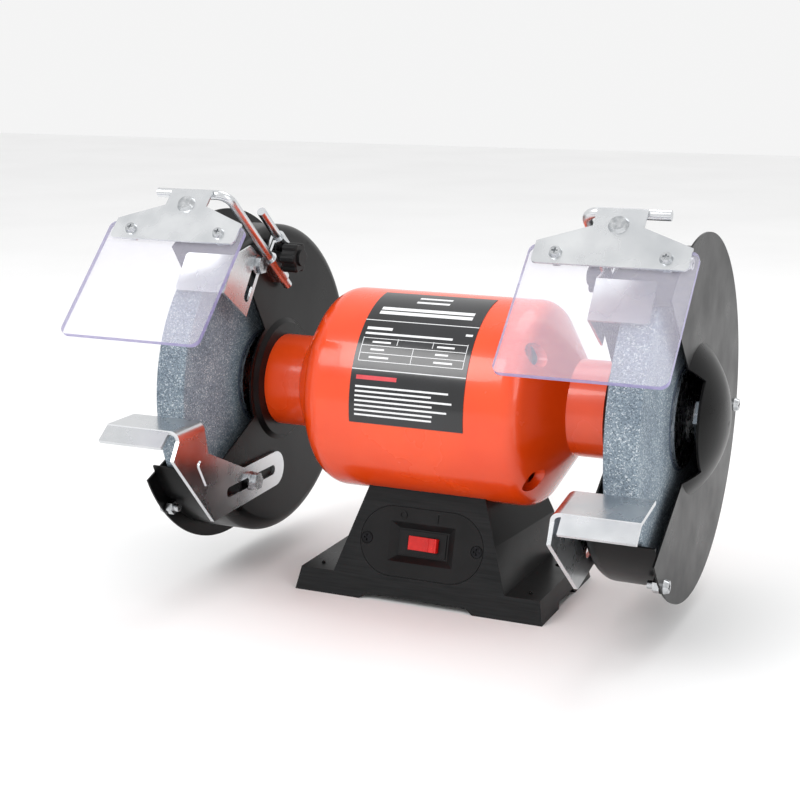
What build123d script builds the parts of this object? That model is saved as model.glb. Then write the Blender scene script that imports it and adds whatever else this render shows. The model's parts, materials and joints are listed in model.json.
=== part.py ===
from build123d import *
import os
from math import atan, cos, degrees, radians, sin, sqrt, tan

# Two-wheel bench grinder. Millimetres, +Z up, +X along the shaft to the operator's right, front is -Y.
# Every piece is drawn with the bench plane at Z = 0 and the shaft line at Y = 0. The saved pieces are moved
# so that the origin is on the bench plane, midway between the two bench-bolt holes.
# Pieces on the shaft line are drawn about the X axis and then lifted by axis_height.

# ---------------------------------------------------------------- driving dimensions
axis_height = 127.8          # shaft centre above the bench
clearance = 0.05             # running gap between pieces that slide or turn on each other

wheel_radius = 100.0         # 200 mm wheel
wheel_width = 20.0
wheel_inner_x = 134.8        # motor-side face of the wheel
arbor_radius = 8.0           # 16 mm spindle
blotter_thickness = 0.5

shell_radius = 65.0
shell_wall = 3.0
seam_x = 49.0                # joint between the motor tube and each end bell
shoulder_x = 60.0
shoulder_radius = 15.0
cone_angle = 57.2            # slope of the end bell's cone, degrees
neck_radius = 30.3
neck_end_x = 116.0
tie_bolt_circle = 55.0
pocket_floor_x = 62.0

bearing_bore_radius = 8.5    # 17 x 40 x 12 ball bearing
bearing_outer_radius = 20.0
bearing_pitch_radius = 14.25
ball_radius = 3.37
bearing_x = 98.0
bearing_width = 12.0

guard_skin = 1.2
guard_radius = 103.2         # outside of the drum
guard_face_x = 118.5         # motor-side face of the guard plate
guard_corner_radius = 9.0
boss_height = 2.5
boss_radius = 41.0
guard_hub_radius = 44.0      # part of the plate that the open mouth leaves whole
mouth_low = -24.3            # angles of the open mouth, above the front horizontal
mouth_high = 58.5
guard_clock = {"left": 0.0, "right": 9.0}   # the right guard is bolted on 9 degrees lower at the front
cover_x = 162.8
cover_radius = 112.0
dome_radius = 46.0
dome_height = 19.0
cover_screw_circle = 107.4
cover_screw_angles = (-43.5, 76.5, 196.5)
guard_screw_circle = 24.5
guard_screw_angles = (90.0, 210.0, 330.0)

rest_bolt = (-49.5, -58.3)   # y and z from the shaft line
rest_sheet = 2.5
rest_width = 51.0
rest_top = -5.8
rest_back = -106.5
rest_front = -136.0
slot_half_width = 3.3
bolt_radius = 3.0

arrestor_sheet = 1.5
arrestor_corner = (-77.5, 69.5)   # lower front corner, from the shaft line
arrestor_lean = 54.4              # slope of its front plate, degrees
arrestor_height = 26.5
arrestor_depth = 33.2
arrestor_width = 35.5
arrestor_slot = (11.0, 36.0)      # first and last bolt centre along the slot
arrestor_slot_depth = 26.6
arrestor_bolt_at = 34.0           # where in the slot the bolt stands at rest

rod_radius = 3.0
hinge_y = -76.0              # shield hinge line, from the shaft line
hinge_z = 129.6
rod_slope = 41.0             # the rod's fall towards the back, degrees
rod_x = 113.5
rod_end_x = 162.5
rod_bend_radius = 8.0
rod_length = 100.0           # from the hinge line to the lower end
post_spacing = 17.0
clamp_start = 68.5           # along the rod, from the hinge line
clamp_length = 22.0
clamp_sheet = 1.6
saddle_thickness = 1.9

shield_lean = 45.0           # fall of the shield towards the front, degrees
bracket_sheet = 1.2
bracket_middle_x = 136.2
bracket_half_width = 43.6
hinge_half_width = 14.4
panel_width = 94.8
panel_top = 26.0             # along the shield, from the hinge line
panel_bottom = 111.5
panel_thickness = 3.0
shield_screw_spacing = 61.4
shield_screw_at = 32.4
shield_bolt_at = 11.5

base_half_length = 85.0
base_half_depth = 49.9
base_height = 14.7
base_side_lean = 2.9
face_lean = 0.27             # front face leans back this much per unit of height
pedestal_foot = 58.8
pedestal_head = 39.9
pedestal_top = 70.2
foot_gap = 3.6
bench_hole = (73.0, 24.0)
bench_hole_radius = 4.25
gland_height = 34.0

# ---------------------------------------------------------------- helpers
wheel_outer_x = wheel_inner_x + wheel_width
face_angle = degrees(atan(face_lean))
switch_height = 38.2
switch_plane = Plane(
    origin=(0, -base_half_depth + face_lean * switch_height, switch_height),
    x_dir=(1, 0, 0),
    z_dir=(0, -cos(radians(face_angle)), sin(radians(face_angle))),
)


def around(radius, angle):
    """A point on a circle about the shaft line: angle 0 faces the front, 90 is up."""
    return (-radius * cos(radians(angle)), radius * sin(radians(angle)))


def bar(x0, x1, radius, y=0.0, z=0.0, mode=Mode.ADD):
    """A round bar along X."""
    with BuildSketch(Plane.YZ.offset(x0)) as profile:
        with Locations((y, z)):
            Circle(radius)
    extrude(profile.sketch, amount=x1 - x0, mode=mode)


def hexagon(x0, x1, across_flats, y=0.0, z=0.0, turn=0.0):
    """A hexagonal bar along X."""
    with BuildSketch(Plane.YZ.offset(x0)) as profile:
        with Locations((y, z)):
            RegularPolygon(across_flats / sqrt(3), 6, rotation=turn)
    extrude(profile.sketch, amount=x1 - x0)


def cross_recess(plane, across, depth):
    """The cross-shaped driver recess of a screw head, cut from its top plane."""
    with BuildSketch(plane) as profile:
        Rectangle(across, across / 4)
        Rectangle(across / 4, across)
    extrude(profile.sketch, amount=-depth, mode=Mode.SUBTRACT)


def turned(points):
    """A solid turned about X from a closed outline of (x, radius) points."""
    with BuildPart() as turned_part:
        with BuildSketch():
            with BuildLine():
                Polyline(*points, close=True)
            make_face()
        revolve(axis=Axis.X)
    return turned_part.part


def place(part, side="right", clock=0.0):
    """Lifts a right-hand piece to the shaft line, mirrored for the left end and clocked about the shaft."""
    if side == "left":
        part = mirror(part, about=Plane.YZ)
    return Pos(0, 0, axis_height) * (Rot(clock, 0, 0) * part)


def save(part, name):
    placed = Pos(0, -bench_hole[1], 0) * part
    placed.label = name
    export_step(placed, f"parts/{name}.step")


def save_group(pieces, name):
    group = Compound(children=[Pos(0, -bench_hole[1], 0) * piece for piece in pieces])
    group.label = name
    export_step(group, f"parts/{name}.step")


def both_ends(make, clocked=False):
    return [place(make(), side, guard_clock[side] if clocked else 0.0) for side in ("left", "right")]


# ---------------------------------------------------------------- base
def pedestal_block(inset):
    """The pedestal between the sloping front and the upright back, or its cavity when inset."""
    lean_front = -base_half_depth + inset
    back = base_half_depth - 4.0 - inset
    front = [(pedestal_foot, base_height), (49.4, 42.5), (pedestal_head, pedestal_top), (36.0, 82.0)]
    rear = [(60.0, base_height), (60.0, 44.0), (48.0, 68.0), (42.0, 82.0)]
    with BuildPart() as block:
        with BuildSketch(Plane.XZ.offset(-back)):
            outline = [(x - inset, z) for x, z in rear]
            Polygon(*outline, *[(-x, z) for x, z in reversed(outline)], align=None)
        front_plane = Plane(
            origin=(0, lean_front, 0),
            x_dir=(1, 0, 0),
            z_dir=(0, -cos(radians(face_angle)), sin(radians(face_angle))),
        )
        with BuildSketch(front_plane):
            outline = [(x - inset, z / cos(radians(face_angle))) for x, z in front]
            Polygon(*outline, *[(-x, z) for x, z in reversed(outline)], align=None)
        loft(ruled=True)
    return block.part


def pedestal_cavity():
    """The hollow inside the pedestal; it stops short of the motor's saddle to leave a wall there."""
    with BuildPart() as cavity:
        add(pedestal_block(4.0))
        with Locations((0, 0, base_height / 2 + foot_gap / 2)):
            Box(104, 76, base_height - foot_gap + 0.2)
        with BuildSketch(Plane.YZ.offset(-100)):
            with Locations((0, axis_height)):
                Circle(shell_radius + 4.5)
        extrude(amount=200, mode=Mode.SUBTRACT)
    return cavity.part


def base_casting():
    with BuildPart() as casting:
        with BuildSketch(Plane.XZ):
            top = base_half_length - base_side_lean
            Polygon((-base_half_length, 0), (base_half_length, 0), (top, base_height), (-top, base_height),
                    align=None)
        extrude(amount=base_half_depth, both=True)
        with BuildSketch(Plane.YZ):
            top_depth = base_half_depth - face_lean * base_height
            Polygon((-base_half_depth, 0), (base_half_depth, 0), (top_depth, base_height),
                    (-top_depth, base_height), align=None)
        extrude(amount=base_half_length, both=True, mode=Mode.INTERSECT)
        add(pedestal_block(0))
        add(pedestal_cavity(), mode=Mode.SUBTRACT)
        with BuildSketch(Plane.YZ.offset(-100)):
            with Locations((0, axis_height)):
                Circle(shell_radius)
        extrude(amount=200, mode=Mode.SUBTRACT)
        # underside: four corner feet stand below a shallow recess
        with Locations((0, 0, foot_gap / 2)):
            Box(124, 90, foot_gap, mode=Mode.SUBTRACT)
        with BuildSketch(Plane.XZ):
            Polygon((-39, 0), (39, 0), (34, foot_gap), (-34, foot_gap), align=None)
        extrude(amount=60, both=True, mode=Mode.SUBTRACT)
        with BuildSketch(Plane.YZ):
            Polygon((-17, 0), (17, 0), (14, foot_gap), (-14, foot_gap), align=None)
        extrude(amount=100, both=True, mode=Mode.SUBTRACT)
        for sign in (-1, 1):
            with Locations((sign * bench_hole[0], bench_hole[1], base_height / 2)):
                Cylinder(bench_hole_radius, base_height * 2, mode=Mode.SUBTRACT)
            with Locations((sign * 72.0, -34.0, base_height)):
                Sphere(1.3)
        # pocket for the flush switch plate, and the window behind it
        with BuildSketch(switch_plane):
            SlotOverall(84.6, 45.1)
        extrude(amount=-2.6, mode=Mode.SUBTRACT)
        with BuildSketch(switch_plane):
            Rectangle(50, 31)
        extrude(amount=-12, mode=Mode.SUBTRACT)
        with BuildSketch(switch_plane):
            with GridLocations(75.4, 1, 2, 1):
                Circle(1.6)
        extrude(amount=-10, mode=Mode.SUBTRACT)
        # rear hole for the cable gland, two holes for the saddle screws, four for the bottom plate
        with Locations((0, base_half_depth - 4.0, gland_height)):
            Cylinder(6.0, 20, rotation=(90, 0, 0), mode=Mode.SUBTRACT)
        with Locations((-24, 0, 62), (24, 0, 62)):
            Cylinder(3.1, 20, mode=Mode.SUBTRACT)
        with Locations((0, 0, foot_gap + 3)):
            with GridLocations(112, 84, 2, 2):
                Cylinder(1.6, 8, mode=Mode.SUBTRACT)
    return casting.part


def bottom_plate():
    with BuildPart() as plate:
        with BuildSketch(Plane.XY.offset(foot_gap - 1.2)):
            RectangleRounded(122, 89, 3)
            with GridLocations(112, 84, 2, 2):
                Circle(1.8, mode=Mode.SUBTRACT)
        extrude(amount=1.2)
    return plate.part


def bottom_plate_screws():
    with BuildPart() as screws:
        with GridLocations(112, 84, 2, 2):
            Cylinder(1.55, 7, align=(Align.CENTER, Align.CENTER, Align.MIN))
            Cylinder(3.0, 1.4, align=(Align.CENTER, Align.CENTER, Align.MIN))
    return Pos(0, 0, foot_gap - 1.2 - 1.4) * screws.part


def switch_plate():
    """Flush obround plate with a funnel-shaped well round the switch and raised O and I marks."""
    with BuildPart() as plate:
        with BuildSketch(switch_plane):
            SlotOverall(84.0, 44.5)
        extrude(amount=-2.5)
        with BuildSketch(switch_plane):
            Rectangle(48, 29)
        extrude(amount=-6.5)
        with BuildSketch(switch_plane):
            Rectangle(44.4, 25.6)
        with BuildSketch(switch_plane.offset(-4.2)):
            Rectangle(34, 17.6)
        loft(mode=Mode.SUBTRACT)
        with BuildSketch(switch_plane):
            Rectangle(31.4, 15.6)
        extrude(amount=-7, mode=Mode.SUBTRACT)
        with BuildSketch(switch_plane):
            with GridLocations(75.4, 1, 2, 1):
                Circle(2.3)
        extrude(amount=-3, mode=Mode.SUBTRACT)
        with BuildSketch(switch_plane):
            with GridLocations(75.4, 1, 2, 1):
                Circle(4.0)
        extrude(amount=-1.0, mode=Mode.SUBTRACT)
        with BuildSketch(switch_plane):
            with Locations((-14.0, 17.2)):
                Circle(2.6)
                Circle(1.7, mode=Mode.SUBTRACT)
            with Locations((9.5, 17.2)):
                Rectangle(1.1, 5.2)
        extrude(amount=0.6)
    return plate.part


def switch_plate_screws():
    with BuildPart() as screws:
        with BuildSketch(switch_plane.offset(-9.5)):
            with GridLocations(75.4, 1, 2, 1):
                Circle(1.55)
        extrude(amount=8.5)
        with BuildSketch(switch_plane.offset(-1.0)):
            with GridLocations(75.4, 1, 2, 1):
                Circle(3.6)
        extrude(amount=1.1)
        for x in (-37.7, 37.7):
            top = switch_plane.from_local_coords((x, 0, 0.1))
            cross_recess(Plane(origin=top, x_dir=(1, 0, 0), z_dir=switch_plane.z_dir), 4.4, 0.8)
    return screws.part


def switch_housing():
    """Snap-in body of the power switch, its frame standing round the rocker."""
    with BuildPart() as housing:
        with BuildSketch(switch_plane.offset(-3.6)):
            Rectangle(31.2, 15.4)
        extrude(amount=-3.0)
        with BuildSketch(switch_plane.offset(-6.6)):
            Rectangle(27.0, 13.4)
        extrude(amount=-14.0)
        with BuildSketch(switch_plane):
            Rectangle(21.4, 9.2)
        extrude(amount=-15.0, mode=Mode.SUBTRACT)
    return housing.part


rocker_radius = 10.4
rocker_depth = -3.6          # its pivot lies level with the housing frame
rocker_throw = 14.0


def rocker():
    """Two-facet rocker with its ends rounded about the pivot, at rest with the O side in."""
    section = Plane(
        origin=switch_plane.from_local_coords((0, -4.4, rocker_depth)),
        x_dir=(1, 0, 0),
        z_dir=-switch_plane.y_dir,
    )
    with BuildPart() as rocker_part:
        with BuildSketch(section):
            Circle(rocker_radius)
            with BuildLine():
                Polyline((-12, -0.2), (0, 0.9), (12, 3.5), (12, 12), (-12, 12), close=True)
            make_face(mode=Mode.SUBTRACT)
            with Locations((0, -11)):
                Rectangle(24, 9, mode=Mode.SUBTRACT)
        extrude(amount=-8.8)
        # two grip ridges across the raised side
        for x in (4.0, 8.2):
            with BuildSketch(section):
                with Locations((x, 0.9 + x * 0.217)):
                    Circle(0.45)
            extrude(amount=-8.8)
    return rocker_part.part


def run_capacitor():
    with BuildPart() as capacitor:
        bar(-24, 24, 12.5, 12.0, 22.0)
        fillet(capacitor.edges().filter_by(GeomType.CIRCLE), 1.2)
        for y in (8.0, 16.0):
            bar(24, 28, 1.4, y, 22.0)
    return capacitor.part


def capacitor_clamp():
    with BuildPart() as clamp:
        bar(-7, 7, 13.7, 12.0, 22.0)
        bar(-8, 8, 12.5, 12.0, 22.0, mode=Mode.SUBTRACT)
        with Locations((0, 12.0 + 12.0, foot_gap + 0.6)):
            Box(14, 24, 1.2)
        with Locations((0, 12.0, foot_gap + 3.0)):
            Box(14, 9, 5.0)
        bar(-8, 8, 12.5, 12.0, 22.0, mode=Mode.SUBTRACT)
    return clamp.part


def terminal_block():
    with BuildPart() as block:
        with Locations((32, -14, foot_gap + 6)):
            Box(34, 16, 12)
        with Locations((32, -14, foot_gap + 12)):
            with GridLocations(8.2, 1, 4, 1):
                Cylinder(2.6, 8, mode=Mode.SUBTRACT)
        with Locations((32, -14, foot_gap + 9.5)):
            with GridLocations(8.2, 1, 4, 1):
                Cylinder(2.4, 3.5)
    return block.part


gland_bore_radius = 3.6
gland_outer_y = base_half_depth - 4.0


def cable_gland():
    """Ribbed plastic inlet for the mains lead, through the back wall."""
    gland_plane = Plane(origin=(0, gland_outer_y, gland_height), x_dir=(1, 0, 0), z_dir=(0, 1, 0))
    with BuildPart() as gland:
        with BuildSketch(gland_plane):
            RegularPolygon(9.5, 6)
        extrude(amount=5)
        with BuildSketch(gland_plane.offset(5)):
            Circle(7.2)
        with BuildSketch(gland_plane.offset(15)):
            Circle(5.4)
        loft()
        with BuildSketch(gland_plane):
            Circle(5.9)
        extrude(amount=-9)
        with BuildSketch(gland_plane.offset(-4.2)):
            RegularPolygon(9.0, 6)
        extrude(amount=-3.5)
        with BuildSketch(gland_plane.offset(-12)):
            Circle(gland_bore_radius)
        extrude(amount=40, mode=Mode.SUBTRACT)
    return gland.part


def saddle_screws():
    """Two screws that pull the motor tube down on the pedestal."""
    seat = axis_height - shell_radius - 4.5
    with BuildPart() as screws:
        with Locations((-24, 0, seat), (24, 0, seat)):
            Cylinder(3.0, 7.0, align=(Align.CENTER, Align.CENTER, Align.MIN))
        with Locations((-24, 0, seat - 4.0), (24, 0, seat - 4.0)):
            Cylinder(5.0, 4.0, align=(Align.CENTER, Align.CENTER, Align.MIN))
    return screws.part


# ---------------------------------------------------------------- motor
def motor_shell():
    inner = shell_radius - shell_wall
    with BuildPart() as shell:
        bar(-seam_x, seam_x, shell_radius)
        bar(-seam_x, seam_x, inner, mode=Mode.SUBTRACT)
        with Locations((-24, 0, -shell_radius), (24, 0, -shell_radius)):
            Cylinder(3.0, 12, mode=Mode.SUBTRACT)
    return shell.part


label_half_length = 37.7
label_low = -6.3
label_high = 83.2


def label_plate():
    """Rating plate: a thin sheet wrapped on the front and top of the motor tube."""
    with BuildPart() as label:
        with BuildSketch():
            with Locations((0, -shell_radius - 0.2)):
                Rectangle(2 * label_half_length, 0.4)
        revolve(axis=Axis.X, revolution_arc=label_high - label_low)
    return Rot(-label_high, 0, 0) * label.part


def stator_core():
    with BuildPart() as core:
        bar(-32, 32, shell_radius - shell_wall)
        bar(-32, 32, 36.5, mode=Mode.SUBTRACT)
        for i in range(4):
            y, z = around(tie_bolt_circle, 45 + 90 * i)
            bar(-33, 33, 2.8, y, z, mode=Mode.SUBTRACT)
        with BuildSketch(Plane.YZ.offset(-32)):
            with PolarLocations(41.5, 24):
                SlotOverall(9, 3)
        extrude(amount=64, mode=Mode.SUBTRACT)
    return core.part


def winding_heads():
    with BuildPart() as windings:
        with BuildSketch():
            with Locations((39.5, 44.0)):
                RectangleRounded(14.8, 13.0, 4)
        revolve(axis=Axis.X)
        mirror(about=Plane.YZ)
    return windings.part


def end_bell():
    """Cast end bell: spigot, round shoulder, cone and neck, with the bearing seat in the neck."""
    shoulder_y = shell_radius - shoulder_radius
    turn = radians(90 - cone_angle)
    cone_start = (shoulder_x + shoulder_radius * cos(turn), shoulder_y + shoulder_radius * sin(turn))
    mid = radians((90 + 90 - cone_angle) / 2)
    shoulder_mid = (shoulder_x + shoulder_radius * cos(mid), shoulder_y + shoulder_radius * sin(mid))
    neck_start = cone_start[0] + (cone_start[1] - neck_radius) / tan(radians(cone_angle))
    seat_end = bearing_x + bearing_width
    with BuildPart() as bell:
        with BuildSketch():
            with BuildLine():
                Polyline((seam_x - 3, 58.5), (seam_x - 3, shell_radius - shell_wall),
                         (seam_x, shell_radius - shell_wall), (seam_x, shell_radius),
                         (shoulder_x, shell_radius))
                ThreePointArc((shoulder_x, shell_radius), shoulder_mid, cone_start)
                Polyline(cone_start, (neck_start, neck_radius), (neck_end_x, neck_radius), (neck_end_x, 9.6),
                         (seat_end, 9.6), (seat_end, bearing_outer_radius),
                         (bearing_x, bearing_outer_radius),
                         (bearing_x, 21), (88, 21), (88, 24.5), (69.5, 53), (60, 58.5), (seam_x - 3, 58.5))
            make_face()
        revolve(axis=Axis.X)
        for i in range(4):
            y, z = around(tie_bolt_circle, 45 + 90 * i)
            bar(seam_x + 1, pocket_floor_x + 6, 8.5, y * 0.93, z * 0.93)
        for i in range(4):
            y, z = around(tie_bolt_circle, 45 + 90 * i)
            bar(pocket_floor_x, 90, 7.2, y, z, mode=Mode.SUBTRACT)
            bar(seam_x - 4, 90, 2.7, y, z, mode=Mode.SUBTRACT)
        for angle in guard_screw_angles:
            y, z = around(guard_screw_circle, angle)
            bar(neck_end_x - 14, neck_end_x, 2.4, y, z, mode=Mode.SUBTRACT)
    return bell.part


def tie_bolts():
    """Four long bolts that pull the end bells together, heads at one end and nuts at the other."""
    with BuildPart() as bolts:
        for i in range(4):
            y, z = around(tie_bolt_circle, 45 + 90 * i)
            bar(-pocket_floor_x, pocket_floor_x + 5, 2.5, y, z)
            bar(-pocket_floor_x - 3.4, -pocket_floor_x, 4.3, y, z)
            head = Plane(origin=(-pocket_floor_x - 3.4, y, z), x_dir=(0, 1, 0), z_dir=(-1, 0, 0))
            cross_recess(head, 5.0, 1.6)
            bar(pocket_floor_x, pocket_floor_x + 3.4, 4.3, y, z)
    return bolts.part


def shaft():
    steps = [(0, 11.0), (40, 11.0), (40, 10.0), (97, 10.0),
             (97, bearing_bore_radius), (125.5, bearing_bore_radius),
             (125.5, arbor_radius), (175.0, arbor_radius), (176.5, 6.5)]
    outline = steps + [(176.5, 0), (-176.5, 0)] + [(-x, r) for x, r in reversed(steps[1:])]
    return turned(outline)


def rotor_core():
    with BuildPart() as rotor:
        bar(-32, 32, 36.0)
        bar(-40, 40, 33.0)
        bar(-41, -32, 24.0, mode=Mode.SUBTRACT)
        bar(32, 41, 24.0, mode=Mode.SUBTRACT)
        bar(-41, 41, 11.0, mode=Mode.SUBTRACT)
    return rotor.part


def bearing_ring(inner, outer):
    """One ring of a bearing, with the ball groove cut in it."""
    middle = bearing_x + bearing_width / 2
    with BuildPart() as ring:
        bar(bearing_x, bearing_x + bearing_width, outer)
        bar(bearing_x, bearing_x + bearing_width, inner, mode=Mode.SUBTRACT)
        with BuildSketch():
            with Locations((middle, bearing_pitch_radius)):
                Circle(ball_radius + clearance)
        revolve(axis=Axis.X, mode=Mode.SUBTRACT)
    return ring.part


def bearing_balls():
    middle = bearing_x + bearing_width / 2
    with BuildPart() as balls:
        for i in range(7):
            y, z = around(bearing_pitch_radius, 360 / 7 * i)
            with Locations((middle, y, z)):
                Sphere(ball_radius)
    return balls.part


# ---------------------------------------------------------------- wheel end, on the spindle
flange_radius = 30.9
flange_hub_x = 125.5


def flange():
    """Dished clamping flange that bears on the wheel with its rim; drawn on the motor side of the wheel."""
    face = wheel_inner_x - blotter_thickness
    return turned([(flange_hub_x, arbor_radius), (flange_hub_x, 13.5), (face - 5.2, 15.5),
                   (face - 2.2, 26.5),
                   (face - 2.2, flange_radius), (face, flange_radius), (face, 24.0), (face - 1.0, 23.0),
                   (face - 1.0, arbor_radius)])


def outer_flange():
    middle = wheel_inner_x + wheel_width / 2
    return mirror(flange(), about=Plane.YZ.offset(middle))


def blotters():
    with BuildPart() as papers:
        for x in (wheel_inner_x - blotter_thickness, wheel_outer_x):
            bar(x, x + blotter_thickness, flange_radius + 1.6)
            bar(x, x + blotter_thickness, arbor_radius + 0.3, mode=Mode.SUBTRACT)
    return papers.part


def wheel():
    with BuildPart() as stone:
        bar(wheel_inner_x, wheel_outer_x, wheel_radius)
        chamfer(stone.edges().filter_by(GeomType.CIRCLE), 0.8)
        bar(wheel_inner_x, wheel_outer_x, arbor_radius + 0.1, mode=Mode.SUBTRACT)
    return stone.part


def arbor_nut():
    start = 2 * wheel_inner_x + wheel_width - flange_hub_x
    with BuildPart() as nut:
        hexagon(start, start + 9.0, 24.0)
        bar(start, start + 9.0, arbor_radius, mode=Mode.SUBTRACT)
    return nut.part


# ---------------------------------------------------------------- wheel guard
def mouth_sketch(low, high, hub):
    """The open front sector of the guard, left whole inside the hub radius."""
    Polygon((0, 0), around(150, low), around(220, (low + high) / 2), around(150, high), align=None)
    Circle(hub, mode=Mode.SUBTRACT)


def guard_shell(clock):
    """Pressed plate and drum round the wheel, open at the front, with three ears for the cover."""
    corner = guard_corner_radius
    inner_face = guard_face_x + guard_skin
    drum_x = guard_face_x + corner
    flat = guard_radius - corner
    bore = 17.0
    with BuildPart() as shell:
        with BuildSketch():
            with BuildLine():
                Polyline((drum_x, guard_radius - guard_skin), (cover_x, guard_radius - guard_skin),
                         (cover_x, guard_radius), (drum_x, guard_radius))
                RadiusArc((drum_x, guard_radius), (guard_face_x, flat), -corner)
                Polyline((guard_face_x, flat), (guard_face_x, boss_radius),
                         (guard_face_x - boss_height, boss_radius - 3), (guard_face_x - boss_height, bore),
                         (inner_face - boss_height, bore), (inner_face - boss_height, boss_radius - 2.4),
                         (inner_face, boss_radius + 0.6), (inner_face, flat))
                RadiusArc((inner_face, flat), (drum_x, guard_radius - guard_skin), corner - guard_skin)
            make_face()
        revolve(axis=Axis.X)
        for angle in cover_screw_angles:
            with BuildSketch(Plane.YZ.offset(cover_x - guard_skin)):
                with Locations(around(cover_screw_circle, angle)):
                    Circle(cover_radius - cover_screw_circle)
                with Locations(Location((*around(guard_radius + 0.9, angle), 0), (0, 0, 1), -angle)):
                    Rectangle(5, 9.2)
                Circle(guard_radius - guard_skin, mode=Mode.SUBTRACT)
            extrude(amount=guard_skin)
            bar(cover_x - 4, cover_x, 2.6, *around(cover_screw_circle, angle), mode=Mode.SUBTRACT)
        with BuildSketch(Plane.YZ.offset(guard_face_x - boss_height - 1)):
            mouth_sketch(mouth_low, mouth_high, guard_hub_radius)
        extrude(amount=60, mode=Mode.SUBTRACT)
        for angle in guard_screw_angles:
            bar(guard_face_x - 4, guard_face_x + 3, 2.7, *around(guard_screw_circle, angle + clock),
                mode=Mode.SUBTRACT)
        bar(guard_face_x - 1, guard_face_x + 3, 3.1, *rest_bolt, mode=Mode.SUBTRACT)
        for y, z in (arrestor_bolt_place(), clamp_centre()):
            bar(guard_face_x - 1, guard_face_x + 3, 3.1, *unclocked(y, z, clock), mode=Mode.SUBTRACT)
    return shell.part


def unclocked(y, z, clock):
    """Where a point that stays put in space lies on a guard that will be turned by clock."""
    a = radians(-clock)
    return (y * cos(a) - z * sin(a), y * sin(a) + z * cos(a))


def guard_cover():
    """Outer cover: a flat disc with a domed middle over the arbor nut and the same open mouth."""
    sphere = (dome_radius ** 2 + dome_height ** 2) / (2 * dome_height)
    outer_x = cover_x + guard_skin
    tip = outer_x + dome_height
    centre = tip - sphere
    inner_foot = sqrt((sphere - guard_skin) ** 2 - (cover_x - centre) ** 2)
    with BuildPart() as cover:
        with BuildSketch():
            with BuildLine():
                Polyline((cover_x, inner_foot), (cover_x, cover_radius), (outer_x, cover_radius),
                         (outer_x, dome_radius))
                RadiusArc((outer_x, dome_radius), (tip, 0), sphere)
                Line((tip, 0), (tip - guard_skin, 0))
                RadiusArc((tip - guard_skin, 0), (cover_x, inner_foot), guard_skin - sphere)
            make_face()
        revolve(axis=Axis.X)
        for angle in cover_screw_angles:
            bar(cover_x - 1, cover_x + 3, 2.6, *around(cover_screw_circle, angle), mode=Mode.SUBTRACT)
        with BuildSketch(Plane.YZ.offset(cover_x - 1)):
            Polygon((0, 0), around(36, -40), around(130, -26), around(200, 15), around(130, 56.5),
                    around(36, 62), align=None)
            Circle(35, mode=Mode.SUBTRACT)
        extrude(amount=40, mode=Mode.SUBTRACT)
    return cover.part


def cover_screws():
    outer_x = cover_x + guard_skin
    with BuildPart() as screws:
        for angle in cover_screw_angles:
            y, z = around(cover_screw_circle, angle)
            bar(outer_x - 10, outer_x, 2.45, y, z)
            with BuildSketch(Plane.YZ.offset(outer_x)):
                with Locations((y, z)):
                    Circle(4.6)
            extrude(amount=2.8, taper=18)
            head = Plane(origin=(outer_x + 2.8, y, z), x_dir=(0, 1, 0), z_dir=(1, 0, 0))
            cross_recess(head, 4.6, 1.5)
    return screws.part


def cover_nuts():
    back = cover_x - guard_skin
    with BuildPart() as nuts:
        for angle in cover_screw_angles:
            y, z = around(cover_screw_circle, angle)
            hexagon(back - 4, back, 8.0, y, z, turn=-angle + 30)
            bar(back - 4, back, 2.5, y, z, mode=Mode.SUBTRACT)
    return nuts.part


def guard_screws():
    seat = guard_face_x + guard_skin - boss_height
    with BuildPart() as screws:
        for angle in guard_screw_angles:
            y, z = around(guard_screw_circle, angle)
            bar(seat - 13, seat, 2.35, y, z)
            bar(seat, seat + 2.8, 4.4, y, z)
            head = Plane(origin=(seat + 2.8, y, z), x_dir=(0, 1, 0), z_dir=(1, 0, 0))
            cross_recess(head, 4.6, 1.5)
    return screws.part


# ---------------------------------------------------------------- tool rest and spark arrestor
rest_x = guard_face_x - 0.1 - rest_sheet     # motor-side face of the rest's arm


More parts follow.
